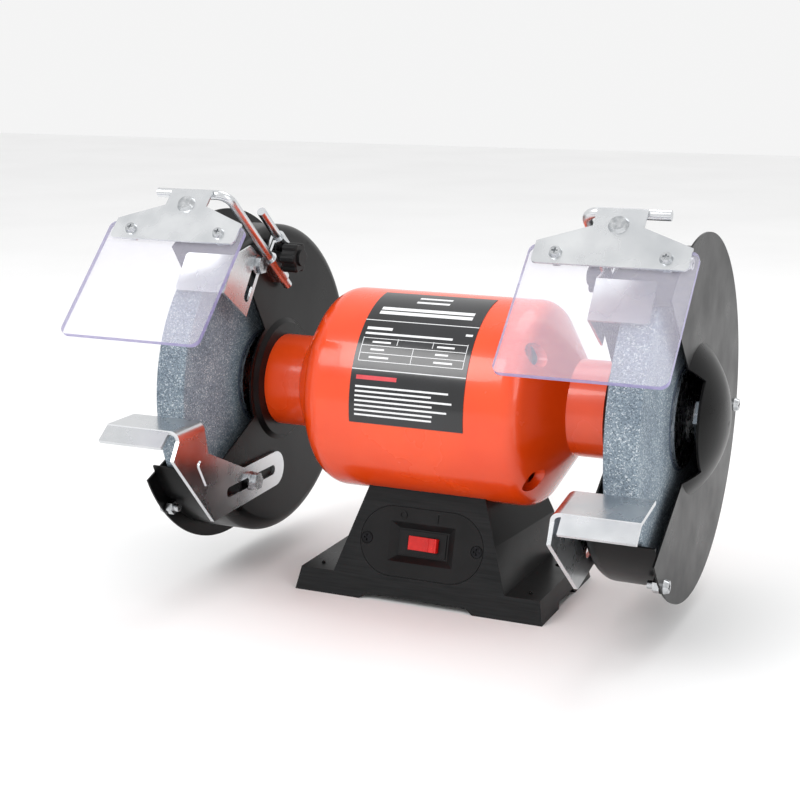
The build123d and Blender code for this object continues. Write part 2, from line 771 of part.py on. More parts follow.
def tool_rest():
    """One bent sheet: slotted arm beside the guard, table in front of the wheel, and a down-turned lip."""
    bend = 6.0
    arm_top = rest_top - bend
    arm_middle = rest_bolt[1]
    half_arm = 11.7
    outer_x = rest_x + rest_width
    lip_angle = radians(39)
    lip = 12.8
    with BuildPart() as rest:
        with BuildSketch(Plane.YZ.offset(rest_x)):
            with BuildLine():
                Polyline((rest_front, arm_top), (rest_back, arm_top), (-103.0, -27.0), (-59.7, -47.0),
                         (-17.5, arm_middle + half_arm))
                ThreePointArc((-17.5, arm_middle + half_arm), (-17.5 + half_arm, arm_middle),
                              (-17.5, arm_middle - half_arm))
                Polyline((-17.5, arm_middle - half_arm), (-98.5, -72.3), (-143.0, -22.5),
                         (rest_front, arm_top))
            make_face()
            with Locations((-50.0, arm_middle)):
                SlotCenterToCenter(57.0, 2 * slot_half_width, mode=Mode.SUBTRACT)
        extrude(amount=rest_sheet)
        # table with its rolled edge down to the arm
        with BuildSketch(Plane.XZ.offset(-rest_back)):
            with BuildLine():
                Polyline((rest_x + rest_sheet, arm_top), (rest_x, arm_top))
                RadiusArc((rest_x, arm_top), (rest_x + bend, rest_top), bend)
                Polyline((rest_x + bend, rest_top), (outer_x, rest_top), (outer_x, rest_top - rest_sheet),
                         (rest_x + bend, rest_top - rest_sheet))
                RadiusArc((rest_x + bend, rest_top - rest_sheet), (rest_x + rest_sheet, arm_top),
                          -(bend - rest_sheet))
            make_face()
        extrude(amount=rest_back - rest_front)
        # lip
        run, fall = lip * cos(lip_angle), lip * sin(lip_angle)
        with BuildSketch(Plane.YZ.offset(rest_x + 7.0)):
            Polygon((rest_front + 0.9, rest_top), (rest_front - run, rest_top - fall),
                    (rest_front - run + rest_sheet * sin(lip_angle),
                     rest_top - fall - rest_sheet * cos(lip_angle)),
                    (rest_front + 0.9, rest_top - rest_sheet), align=None)
        extrude(amount=rest_width - 7.0)
        # pressed rib that stiffens the arm under the table
        with BuildSketch(Plane.YZ.offset(rest_x)):
            with Locations(Location((-110.0, -38.0, 0), (0, 0, 1), -60)):
                SlotOverall(20, 6)
        extrude(amount=-1.0, taper=40)
    return rest.part


def arrestor_frame():
    """Unit vectors of the spark arrestor: up its front plate, and back along its side."""
    a = radians(arrestor_lean)
    return (cos(a), sin(a)), (sin(a), -cos(a))


def arrestor_point(up, back):
    u, v = arrestor_frame()
    return (arrestor_corner[0] + up * u[0] + back * v[0], arrestor_corner[1] + up * u[1] + back * v[1])


def arrestor_bolt_place():
    return arrestor_point(arrestor_bolt_at, arrestor_slot_depth)


def spark_arrestor():
    """Bent sheet: a plate across the wheel and a slotted side against the guard."""
    side_x = guard_face_x - 0.1 - arrestor_sheet
    first, last = (arrestor_point(at, arrestor_slot_depth) for at in arrestor_slot)
    middle = ((first[0] + last[0]) / 2, (first[1] + last[1]) / 2)
    with BuildPart() as arrestor:
        with BuildSketch(Plane.YZ.offset(side_x)):
            Polygon(arrestor_point(0, 0), arrestor_point(0, arrestor_depth),
                    arrestor_point(41, arrestor_depth), arrestor_point(41, 14),
                    arrestor_point(arrestor_height, 0), align=None)
            with Locations(Location((*middle, 0), (0, 0, 1), arrestor_lean)):
                SlotCenterToCenter(arrestor_slot[1] - arrestor_slot[0], 2 * slot_half_width,
                                   mode=Mode.SUBTRACT)
        extrude(amount=arrestor_sheet)
        with BuildSketch(Plane.YZ.offset(side_x)):
            Polygon(arrestor_point(0, 0), arrestor_point(0, arrestor_sheet),
                    arrestor_point(arrestor_height, arrestor_sheet), arrestor_point(arrestor_height, 0),
                    align=None)
        extrude(amount=arrestor_width)
        far_edges = arrestor.edges().filter_by(lambda e: e.center().X > side_x + arrestor_width - 0.01)
        fillet(far_edges.filter_by(lambda e: e.length < 2), 2.5)
    return arrestor.part


def adjuster_bolt(y, z, sheet):
    """Hex bolt with its washer and nut, clamping a slotted sheet on the guard plate."""
    face = guard_face_x - 0.1 - sheet - clearance
    with BuildPart() as bolt:
        hexagon(face - 1.2 - 4.0, face - 1.2, 10.0, y, z)
        bar(face - 1.2, guard_face_x + guard_skin + 6.5, bolt_radius, y, z)
    with BuildPart() as washer:
        bar(face - 1.2, face, 6.2, y, z)
        bar(face - 1.2, face, bolt_radius, y, z, mode=Mode.SUBTRACT)
    return bolt.part, washer.part


def guard_nut(y, z):
    start = guard_face_x + guard_skin
    with BuildPart() as nut:
        hexagon(start, start + 5.0, 10.0, y, z)
        bar(start, start + 5.0, bolt_radius, y, z, mode=Mode.SUBTRACT)
    return nut.part


# ---------------------------------------------------------------- eye shield
def along_rod(distance, offset):
    """A point beside the rod: distance down it from the hinge line, offset square to it, upwards."""
    a = radians(rod_slope)
    return (hinge_y + distance * cos(a) + offset * sin(a), hinge_z - distance * sin(a) + offset * cos(a))


def clamp_centre():
    return along_rod(clamp_start + clamp_length / 2, post_spacing / 2)


def clamp_plane(distance):
    """Section plane across the rod: its first axis is square to the rod, its second is the shaft's."""
    a = radians(rod_slope)
    y, z = along_rod(distance, post_spacing / 2)
    return Plane(origin=(0, y, z), x_dir=(0, sin(a), cos(a)), z_dir=(0, cos(a), -sin(a)))


def clamp_base():
    """Flat saddle on the guard plate with a short post welded to it, level with the rod."""
    half = post_spacing / 2
    with BuildPart() as base:
        with BuildSketch(clamp_plane(clamp_start)):
            with Locations((0, guard_face_x - saddle_thickness / 2)):
                Rectangle(post_spacing + 9.0, saddle_thickness)
        extrude(amount=clamp_length)
        with BuildSketch(clamp_plane(clamp_start - 28.0)):
            with Locations((half, rod_x)):
                Circle(rod_radius)
        extrude(amount=clamp_length + 28.0)
        y, z = clamp_centre()
        bar(guard_face_x - 5, guard_face_x, 3.1, y, z, mode=Mode.SUBTRACT)
    return base.part


def clamp_strip():
    """Strip bent over the rod and the post, drawn down between them by the knob."""
    half = post_spacing / 2
    bow = rod_radius + clearance + clamp_sheet / 2
    foot = guard_face_x - saddle_thickness - 0.9
    web = rod_x + 1.4
    with BuildPart() as strip:
        with BuildSketch(clamp_plane(clamp_start)):
            with BuildLine():
                Line((-half - bow, foot), (-half - bow, rod_x))
                ThreePointArc((-half - bow, rod_x), (-half, rod_x - bow), (-half + bow, rod_x))
                Polyline((-half + bow, rod_x), (-half + bow, web), (half - bow, web), (half - bow, rod_x))
                ThreePointArc((half - bow, rod_x), (half, rod_x - bow), (half + bow, rod_x))
                Line((half + bow, rod_x), (half + bow, foot))
            trace(line_width=clamp_sheet)
        extrude(amount=clamp_length)
        y, z = clamp_centre()
        bar(rod_x - 6, guard_face_x, 3.1, y, z, mode=Mode.SUBTRACT)
    return strip.part


knob_head_x = rod_x - rod_radius - clamp_sheet - 0.6
knob_length = 10.0


def clamp_knob():
    """Six-lobed hand knob with a short hub that reaches the strip."""
    y, z = clamp_centre()
    with BuildPart() as knob:
        with BuildSketch(Plane.YZ.offset(knob_head_x - knob_length)):
            with Locations((y, z)):
                Circle(8.4)
                with PolarLocations(7.3, 6):
                    Circle(2.9)
        extrude(amount=knob_length)
        fillet(knob.faces().sort_by(Axis.X)[0].edges(), 1.2)
        bar(knob_head_x - knob_length - 1.6, knob_head_x - knob_length, 5.2, y, z)
        bar(knob_head_x, rod_x + 1.4 - clamp_sheet / 2 - 0.1, 3.5, y, z)
        bar(knob_head_x - 6, knob_head_x + 10, 2.2, y, z, mode=Mode.SUBTRACT)
    return knob.part


def knob_stud():
    y, z = clamp_centre()
    with BuildPart() as stud:
        bar(knob_head_x - 6, rod_x + 0.5, 2.2, y, z)
        bar(rod_x + 0.5, guard_face_x + guard_skin + 6.0, bolt_radius - clearance, y, z)
    return stud.part


def shield_rod():
    """Round bar: up from the clamp, then a square bend along the hinge line."""
    low = along_rod(rod_length, 0)
    with BuildPart() as rod:
        with BuildLine() as path:
            FilletPolyline((rod_x, *low), (rod_x, hinge_y, hinge_z), (rod_end_x, hinge_y, hinge_z),
                           radius=rod_bend_radius)
        a = radians(rod_slope)
        with BuildSketch(Plane(origin=(rod_x, *low), z_dir=(0, -cos(a), sin(a)))):
            Circle(rod_radius)
        sweep()
    return rod.part


def shield_plane(x):
    """Section of the shield seen along the shaft: first axis runs down it, second is its outward side."""
    a = radians(shield_lean)
    return Plane(origin=(x, hinge_y, hinge_z), x_dir=(0, -cos(a), -sin(a)), z_dir=(-1, 0, 0))


def shield_face(height):
    """The shield's own flat plane at a height above the hinge line; first axis is -X, second runs up it."""
    a = radians(shield_lean)
    origin = Vector(bracket_middle_x, hinge_y, hinge_z) + Vector(0, -sin(a), cos(a)) * height
    return Plane(origin=origin, x_dir=(1, 0, 0), z_dir=(0, -sin(a), cos(a)))


def shield_bracket():
    """Sheet blade on top of the panel, its upper edge rolled round the rod and folded back under itself."""
    roll = rod_radius + clearance + bracket_sheet / 2
    under = roll - bracket_sheet
    x = bracket_middle_x + hinge_half_width
    with BuildPart() as bracket:
        with BuildSketch(shield_plane(x)):
            with BuildLine():
                Line((14, roll), (0, roll))
                ThreePointArc((0, roll), (-roll, 0), (0, -roll))
                Polyline((0, -roll), (1.4, -roll), (5.2, under), (17.5, under))
            trace(line_width=bracket_sheet)
        extrude(amount=2 * hinge_half_width)
        for cut in (-6.0, 9.0):
            with BuildSketch(shield_plane(bracket_middle_x + cut + 0.5)):
                with Locations((-5, 0)):
                    Rectangle(9.0, 12)
            extrude(amount=1.0, mode=Mode.SUBTRACT)
        half = bracket_half_width
        with BuildSketch(shield_face(roll - bracket_sheet / 2)) as blade:
            Polygon((-hinge_half_width, 0), (-hinge_half_width, -12.5), (-half, -24.5), (-half, -39.5),
                    (half, -39.5), (half, -24.5), (hinge_half_width, -12.5), (hinge_half_width, 0),
                    align=None)
            fillet(blade.vertices().group_by(Axis.Y)[0], 3)
        extrude(amount=bracket_sheet)
        with BuildSketch(shield_face(-5)):
            with Locations((0, -shield_bolt_at)):
                Circle(3.1)
            with Locations((0, -shield_screw_at)):
                with GridLocations(shield_screw_spacing, 1, 2, 1):
                    Circle(2.1)
        extrude(amount=15, mode=Mode.SUBTRACT)
    return bracket.part


def shield_panel():
    length = panel_bottom - panel_top
    with BuildPart() as panel:
        with BuildSketch(shield_face(rod_radius + clearance - panel_thickness)):
            with Locations((0.5, -(panel_top + panel_bottom) / 2)):
                RectangleRounded(panel_width, length, 5.0)
            with Locations((0, -shield_screw_at)):
                with GridLocations(shield_screw_spacing, 1, 2, 1):
                    Circle(2.1, mode=Mode.SUBTRACT)
        extrude(amount=panel_thickness)
    return panel.part


def shield_bolt():
    """Round-headed bolt and nut that pinch the rolled edge on the rod."""
    top = rod_radius + clearance + bracket_sheet
    under = rod_radius + clearance - bracket_sheet
    with BuildPart() as bolt:
        with BuildSketch(shield_face(top)):
            with Locations((0, -shield_bolt_at)):
                Circle(5.9)
        extrude(amount=2.2, taper=30)
        with BuildSketch(shield_face(top)):
            with Locations((0, -shield_bolt_at)):
                Circle(bolt_radius)
        extrude(amount=-(top - under) - 6.5)
    with BuildPart() as nut:
        with BuildSketch(shield_face(under)):
            with Locations((0, -shield_bolt_at)):
                RegularPolygon(10 / sqrt(3), 6, rotation=30)
                Circle(bolt_radius, mode=Mode.SUBTRACT)
        extrude(amount=-5.0)
    return [bolt.part, nut.part]


def shield_screws():
    """Two cross-recess screws and nuts that hold the panel under the bracket."""
    top = rod_radius + clearance + bracket_sheet
    under = rod_radius + clearance - panel_thickness
    pieces = []
    for x in (-shield_screw_spacing / 2, shield_screw_spacing / 2):
        spot = shield_face(top).from_local_coords((x, -shield_screw_at))
        at_top = Plane(origin=spot, x_dir=(1, 0, 0), z_dir=shield_face(0).z_dir)
        with BuildPart() as screw:
            with BuildSketch(at_top):
                Circle(3.8)
            extrude(amount=2.2, taper=20)
            cross_recess(at_top.offset(2.2), 3.6, 1.2)
            with BuildSketch(at_top):
                Circle(2.0)
            extrude(amount=-(top - under) - 4.0)
        with BuildPart() as nut:
            with BuildSketch(at_top.offset(under - top)):
                RegularPolygon(7 / sqrt(3), 6)
                Circle(2.0, mode=Mode.SUBTRACT)
            extrude(amount=-3.2)
        pieces += [screw.part, nut.part]
    return pieces


# ---------------------------------------------------------------- write every node
os.makedirs("parts", exist_ok=True)

save(base_casting(), "base_casting")
save(bottom_plate(), "bottom_plate")
save(bottom_plate_screws(), "bottom_plate_screws")
save(switch_plate(), "switch_plate")
save(switch_plate_screws(), "switch_plate_screws")
save(switch_housing(), "switch_housing")
save(rocker(), "rocker")
save(run_capacitor(), "run_capacitor")
save(capacitor_clamp(), "capacitor_clamp")
save(terminal_block(), "terminal_block")
save(cable_gland(), "cable_gland")
save(saddle_screws(), "saddle_screws")

for make in (motor_shell, label_plate, stator_core, winding_heads, tie_bolts, shaft, rotor_core):
    save(place(make()), make.__name__)
save(place(end_bell(), "left"), "left_end_bell")
save(place(end_bell()), "right_end_bell")

race = bearing_pitch_radius + ball_radius * 0.64
save_group(both_ends(lambda: bearing_ring(race, bearing_outer_radius)), "bearing_outer_rings")
race = bearing_pitch_radius - ball_radius * 0.64
save_group(both_ends(lambda: bearing_ring(bearing_bore_radius, race)), "bearing_inner_rings")
save_group(both_ends(bearing_balls), "bearing_balls")

save_group(both_ends(flange), "inner_flanges")
save_group(both_ends(outer_flange), "outer_flanges")
save_group(both_ends(blotters), "blotters")
save_group(both_ends(cover_screws, clocked=True), "cover_screws")
save_group(both_ends(cover_nuts, clocked=True), "cover_nuts")
save_group(both_ends(guard_screws), "guard_screws")
save_group(both_ends(clamp_base), "shield_clamp_bases")
save_group(both_ends(clamp_strip), "shield_clamp_strips")

bolts, washers, nuts = [], [], []
for side in ("left", "right"):
    for spot, sheet, clock in ((rest_bolt, rest_sheet, guard_clock[side]),
                               (arrestor_bolt_place(), arrestor_sheet, 0.0)):
        bolt, washer = adjuster_bolt(*spot, sheet)
        bolts.append(place(bolt, side, clock))
        washers.append(place(washer, side, clock))
        nuts.append(place(guard_nut(*spot), side, clock))
    nuts.append(place(guard_nut(*clamp_centre()), side))
save_group(bolts, "adjuster_bolts")
save_group(washers, "adjuster_washers")
save_group(nuts, "guard_nuts")

for side in ("left", "right"):
    clock = guard_clock[side]
    save(place(wheel(), side), f"{side}_wheel")
    save(place(arbor_nut(), side), f"{side}_arbor_nut")
    save(place(guard_shell(clock), side, clock), f"{side}_guard_shell")
    save(place(guard_cover(), side, clock), f"{side}_guard_cover")
    save(place(tool_rest(), side, clock), f"{side}_tool_rest")
    save(place(spark_arrestor(), side), f"{side}_spark_arrestor")
    save_group([place(clamp_knob(), side), place(knob_stud(), side)], f"{side}_clamp_knob")
    save(place(shield_rod(), side), f"{side}_shield_rod")
    save(place(shield_bracket(), side), f"{side}_shield_bracket")
    save(place(shield_panel(), side), f"{side}_shield_panel")
    save_group([place(piece, side) for piece in shield_bolt()], f"{side}_shield_bolt")
    save_group([place(piece, side) for piece in shield_screws()], f"{side}_shield_screws")
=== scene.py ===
import bpy
import json
from math import radians
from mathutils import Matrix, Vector


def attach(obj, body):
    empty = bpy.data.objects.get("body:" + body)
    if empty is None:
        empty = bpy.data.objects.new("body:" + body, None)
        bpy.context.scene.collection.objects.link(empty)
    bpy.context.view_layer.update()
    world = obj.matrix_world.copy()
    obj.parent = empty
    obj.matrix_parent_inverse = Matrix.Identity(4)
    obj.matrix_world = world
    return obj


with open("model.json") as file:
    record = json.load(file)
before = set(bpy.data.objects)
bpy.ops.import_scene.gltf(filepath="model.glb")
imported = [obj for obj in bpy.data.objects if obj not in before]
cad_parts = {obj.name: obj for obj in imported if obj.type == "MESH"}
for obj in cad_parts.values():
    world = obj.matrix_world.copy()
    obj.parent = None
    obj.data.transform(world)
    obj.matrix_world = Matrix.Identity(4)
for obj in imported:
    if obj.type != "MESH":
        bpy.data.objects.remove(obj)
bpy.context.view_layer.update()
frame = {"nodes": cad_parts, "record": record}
scene = bpy.context.scene
mm = 0.001
shaftY, shaftZ = -24.0 * mm, 127.8 * mm
faceLean = 0.27  # how far the base's front leans back for each unit of height
baseFrontY = -73.9 * mm  # the front's foot, on the bench
labelRadius = 65.43 * mm  # just proud of the rating plate


# adds one node: settings are its properties, values its unlinked inputs, links its linked ones
def addNode(tree, kind, links=None, values=None, **settings):
    node = tree.nodes.new(kind)
    for key, value in settings.items():
        setattr(node, key, value)
    for key, value in (values or {}).items():
        node.inputs[key].default_value = value
    for key, socket in (links or {}).items():
        tree.links.new(socket, node.inputs[key])
    return node


# linear colour from an sRGB hex code
def colour(code):
    parts = [int(code[i:i + 2], 16) / 255 for i in (0, 2, 4)]
    return tuple(c / 12.92 if c <= 0.04045 else ((c + 0.055) / 1.055) ** 2.4 for c in parts) + (1.0,)


# noise with features of about size metres, made finer along an axis by its stretch value
def noise(tree, size, detail=3.0, stretch=(1, 1, 1)):
    coords = addNode(tree, "ShaderNodeTexCoord")
    mapping = addNode(tree, "ShaderNodeMapping", {"Vector": coords.outputs["Object"]}, {"Scale": stretch})
    return addNode(tree, "ShaderNodeTexNoise", {"Vector": mapping.outputs["Vector"]},
                   {"Scale": 1 / size, "Detail": detail})


def mapRange(tree, socket, low, high, start=0.3, end=0.7):
    return addNode(tree, "ShaderNodeMapRange", {"Value": socket},
                   {"From Min": start, "From Max": end, "To Min": low, "To Max": high}).outputs["Result"]


# colour ramp from (position, hex) stops
def ramp(tree, socket, stops):
    node = addNode(tree, "ShaderNodeValToRGB", {"Fac": socket})
    band = node.color_ramp
    while len(band.elements) < len(stops):
        band.elements.new(0.5)
    for element, (at, code) in zip(band.elements, stops):
        element.position, element.color = at, colour(code)
    return node.outputs["Color"]


# a new material with an empty node tree
def emptyMaterial(name):
    made = bpy.data.materials.new(name)
    made.use_nodes = True
    made.node_tree.nodes.clear()
    return made, made.node_tree


# a bump from a height socket, depth in millimetres
def bumped(tree, shader, height, strength, depth):
    bump = addNode(tree, "ShaderNodeBump", {"Height": height}, {"Strength": strength, "Distance": depth * mm})
    tree.links.new(bump.outputs["Normal"], shader.inputs["Normal"])


# a procedural finish: mottled colour, varied roughness and a fine bump, sizes in millimetres
def finish(name, look):
    made, tree = emptyMaterial(name)
    shader = addNode(tree, "ShaderNodeBsdfPrincipled", values={"Metallic": look.get("metal", 0.0)})
    for key, value in look.get("sockets", {}).items():
        shader.inputs[key].default_value = value
    stretch = look.get("stretch", (1, 1, 1))
    broad = noise(tree, look["mottle"] * mm, 4.0, stretch).outputs["Fac"]
    fine = noise(tree, look["grain"] * mm, 2.0, stretch).outputs["Fac"]
    tree.links.new(ramp(tree, broad, look["stops"]), shader.inputs["Base Color"])
    tree.links.new(mapRange(tree, broad, *look["rough"]), shader.inputs["Roughness"])
    bumped(tree, shader, fine, look["bump"], look["depth"])
    addNode(tree, "ShaderNodeOutputMaterial", {"Surface": shader.outputs["BSDF"]})
    return made


coat = {"Coat Weight": 0.5, "Coat Roughness": 0.06}
looks = {
    "red_paint": dict(stops=[(0.35, "EC4408"), (0.65, "F54E10")], rough=(0.22, 0.3), mottle=60, grain=1.4,
                      bump=0.05, depth=0.1, sockets=coat),  # gloss orange-red enamel with a faint orange peel
    "black_paint": dict(stops=[(0.35, "060606"), (0.65, "0B0B0C")], rough=(0.26, 0.36), mottle=25, grain=0.9,
                        bump=0.12, depth=0.12, sockets={"Specular IOR Level": 0.16}),  # semi-gloss black enamel
    "black_sheet": dict(stops=[(0.35, "141416"), (0.65, "1C1C1E")], rough=(0.45, 0.6), mottle=20, grain=0.6,
                        bump=0.1, depth=0.08),  # satin black sheet under the base
    "label_film": dict(stops=[(0.35, "0C0D10"), (0.65, "14161C")], rough=(0.16, 0.26), mottle=40, grain=2.0,
                       bump=0.03, depth=0.05, sockets=coat),  # gloss black printed film
    "black_plastic": dict(stops=[(0.35, "0B0B0C"), (0.65, "131314")], rough=(0.42, 0.55), mottle=12, grain=0.35,
                          bump=0.25, depth=0.06, sockets={"Specular IOR Level": 0.25}),  # fine spark-eroded nylon
    "red_plastic": dict(stops=[(0.35, "C21410"), (0.65, "D61C16")], rough=(0.18, 0.28), mottle=8, grain=0.8,
                        bump=0.05, depth=0.04),  # glossy red moulded rocker
    "blackened_screws": dict(stops=[(0.35, "101012"), (0.65, "1C1C20")], metal=0.7, rough=(0.3, 0.45), mottle=3,
                             grain=0.3, bump=0.1, depth=0.03),  # black oxide steel
    "grey_plastic": dict(stops=[(0.35, "8A8C8E"), (0.65, "97999B")], rough=(0.4, 0.5), mottle=15, grain=0.5,
                         bump=0.1, depth=0.05),  # satin grey capacitor can
    "cream_plastic": dict(stops=[(0.35, "D2C8A8"), (0.65, "DDD4B6")], rough=(0.4, 0.5), mottle=10, grain=0.5,
                          bump=0.1, depth=0.05),  # cream terminal block
    "zinc": dict(stops=[(0.3, "CDD0D3"), (0.55, "D8DADC"), (0.75, "DFE1E2")], metal=1.0, rough=(0.22, 0.32),
                 mottle=26, grain=0.7, bump=0.06, depth=0.05),  # bright zinc plate on rolled sheet
    "zinc_fasteners": dict(stops=[(0.3, "ABAEB1"), (0.7, "D2D4D6")], metal=1.0, rough=(0.16, 0.3), mottle=3,
                           grain=0.3, bump=0.12, depth=0.03),  # bright zinc plate on small turned pieces
    "laminations": dict(stops=[(0.35, "4A4A4C"), (0.65, "66666A")], metal=1.0, rough=(0.4, 0.6), mottle=4,
                        grain=0.5, bump=0.5, depth=0.1, stretch=(6, 1, 1)),  # bare stacked core steel
    "windings": dict(stops=[(0.35, "7A3414"), (0.65, "A2522A")], rough=(0.25, 0.45), mottle=3, grain=0.6,
                     bump=0.6, depth=0.2),  # varnished copper wire
    "shaft_steel": dict(stops=[(0.35, "9A9C9F"), (0.65, "BCBEC1")], metal=1.0, rough=(0.2, 0.34), mottle=5,
                        grain=0.35, bump=0.25, depth=0.04, stretch=(5, 1, 1)),  # turned steel with lathe lines
    "bearing_steel": dict(stops=[(0.35, "B4B6B8"), (0.65, "C8CACC")], metal=1.0, rough=(0.08, 0.16), mottle=8,
                          grain=0.5, bump=0.03, depth=0.02),  # ground bearing steel
    "blotter_paper": dict(stops=[(0.35, "4B5665"), (0.65, "5A6676")], rough=(0.75, 0.9), mottle=4, grain=0.3,
                          bump=0.4, depth=0.06),  # blue-grey blotting paper
    "print_white": dict(stops=[(0.35, "E6E7E9"), (0.65, "F2F3F4")], rough=(0.3, 0.4), mottle=8, grain=0.4,
                        bump=0.05, depth=0.02),  # white screen print
    "print_red": dict(stops=[(0.35, "D24048"), (0.65, "E05058")], rough=(0.3, 0.4), mottle=8, grain=0.4,
                      bump=0.05, depth=0.02),  # red screen print
}
materials = {name: finish(name, look) for name, look in looks.items()}


# vitrified aluminium oxide: packed blue-grey grains with light and dark specks and open pores;
# the grains are drawn coarser than a medium grit's 0.25 mm so that they show
def gritFinish():
    made, tree = emptyMaterial("grit")
    coords = addNode(tree, "ShaderNodeTexCoord").outputs["Object"]
    grains = addNode(tree, "ShaderNodeTexVoronoi", {"Vector": coords}, {"Scale": 1 / (0.65 * mm)})
    value = addNode(tree, "ShaderNodeSeparateColor", {"Color": grains.outputs["Color"]}).outputs["Red"]
    base = ramp(tree, value, [(0.0, "5B6873"), (0.2, "76848F"), (0.6, "8A98A3"), (0.85, "9FACB5"),
                              (0.97, "D4DADF")])
    cloud = ramp(tree, noise(tree, 22 * mm, 3.0).outputs["Fac"], [(0.3, "DCDFE3"), (0.7, "FFFFFF")])
    mix = addNode(tree, "ShaderNodeMix", data_type="RGBA", blend_type="MULTIPLY")
    mix.inputs[0].default_value = 1.0
    tree.links.new(base, mix.inputs[6])
    tree.links.new(cloud, mix.inputs[7])
    shader = addNode(tree, "ShaderNodeBsdfPrincipled", {"Base Color": mix.outputs[2]})
    tree.links.new(mapRange(tree, value, 0.7, 0.95, 0.0, 1.0), shader.inputs["Roughness"])
    bumped(tree, shader, grains.outputs["Distance"], 0.6, 0.3)
    addNode(tree, "ShaderNodeOutputMaterial", {"Surface": shader.outputs["BSDF"]})
    return made


# clear polycarbonate: near-colourless faces with fine scuffs, violet where the cut edges gather light
def clearFinish():
    made, tree = emptyMaterial("clear_panel")
    scuffs = noise(tree, 6 * mm, 5.0, (1, 4, 1)).outputs["Fac"]
    shaders = []
    faces, edges = [(0.35, "E0DEF0"), (0.65, "ECEAF6")], [(0.35, "8E86B6"), (0.65, "A39CC6")]
    for alpha, stops in ((0.22, faces), (0.85, edges)):
        shader = addNode(tree, "ShaderNodeBsdfPrincipled", values={"Alpha": alpha, "IOR": 1.58})
        tree.links.new(ramp(tree, scuffs, stops), shader.inputs["Base Color"])
        tree.links.new(mapRange(tree, scuffs, 0.04, 0.12), shader.inputs["Roughness"])
        shaders.append(shader.outputs["BSDF"])
    normal = addNode(tree, "ShaderNodeTexCoord").outputs["Normal"]
    facing = addNode(tree, "ShaderNodeVectorMath", {0: normal}, {1: (0.0, -0.7071, 0.7071)},
                     operation="DOT_PRODUCT")  # the panels lie at 45 degrees
    flat = addNode(tree, "ShaderNodeMath", {0: facing.outputs["Value"]}, operation="ABSOLUTE").outputs["Value"]
    edge = addNode(tree, "ShaderNodeMath", {0: flat}, {1: 0.7}, operation="LESS_THAN").outputs["Value"]
    mix = addNode(tree, "ShaderNodeMixShader", {0: edge, 1: shaders[0], 2: shaders[1]})
    addNode(tree, "ShaderNodeOutputMaterial", {"Surface": mix.outputs[0]})
    return made


# the base's black enamel, rubbed back to dark grey metal over its sloping front face
def castingFinish():
    made = finish("cast_base", looks["black_paint"])  # black enamel with a sanded front
    tree = made.node_tree
    enamel = next(n for n in tree.nodes if n.type == "BSDF_PRINCIPLED")
    output = next(n for n in tree.nodes if n.type == "OUTPUT_MATERIAL")
    coords = addNode(tree, "ShaderNodeTexCoord").outputs["Object"]
    axes = addNode(tree, "ShaderNodeSeparateXYZ", {"Vector": coords})
    slope = addNode(tree, "ShaderNodeMath", {0: axes.outputs["Z"], 2: axes.outputs["Y"]}, {1: -faceLean},
                    operation="MULTIPLY_ADD").outputs["Value"]
    front = addNode(tree, "ShaderNodeMath", {0: slope}, {1: baseFrontY + 0.35 * mm},
                    operation="LESS_THAN").outputs["Value"]
    lines = noise(tree, 1.2 * mm, 4.0, (0.05, 1, 1)).outputs["Fac"]
    sanded = addNode(tree, "ShaderNodeBsdfPrincipled", values={"Metallic": 0.3, "Specular IOR Level": 0.25})
    tree.links.new(ramp(tree, lines, [(0.3, "141516"), (0.7, "232425")]), sanded.inputs["Base Color"])
    tree.links.new(mapRange(tree, lines, 0.38, 0.55), sanded.inputs["Roughness"])
    bumped(tree, sanded, lines, 0.3, 0.05)
    mix = addNode(tree, "ShaderNodeMixShader", {0: front, 1: enamel.outputs["BSDF"], 2: sanded.outputs["BSDF"]})
    tree.links.new(mix.outputs[0], output.inputs["Surface"])
    return made


materials["grit"] = gritFinish()
materials["clear_panel"] = clearFinish()
materials["cast_base"] = castingFinish()
slotOf = {entry["node"]: entry["material_slot"] for entry in frame["record"]["subparts"]}
slotOf["base_casting"] = "cast_base"
for nodeName, node in frame["nodes"].items():
    chosen = materials[slotOf[nodeName]]
    for cadSlot in node.material_slots:
        cadSlot.material = chosen
    if not node.material_slots:
        node.data.materials.append(chosen)
print("materials", len(materials))


# one sum on sockets or plain numbers
def calc(tree, operation, *terms):
    values = {i: term for i, term in enumerate(terms) if isinstance(term, (int, float))}
    links = {i: term for i, term in enumerate(terms) if i not in values}
    return addNode(tree, "ShaderNodeMath", links, values, operation=operation).outputs[0]


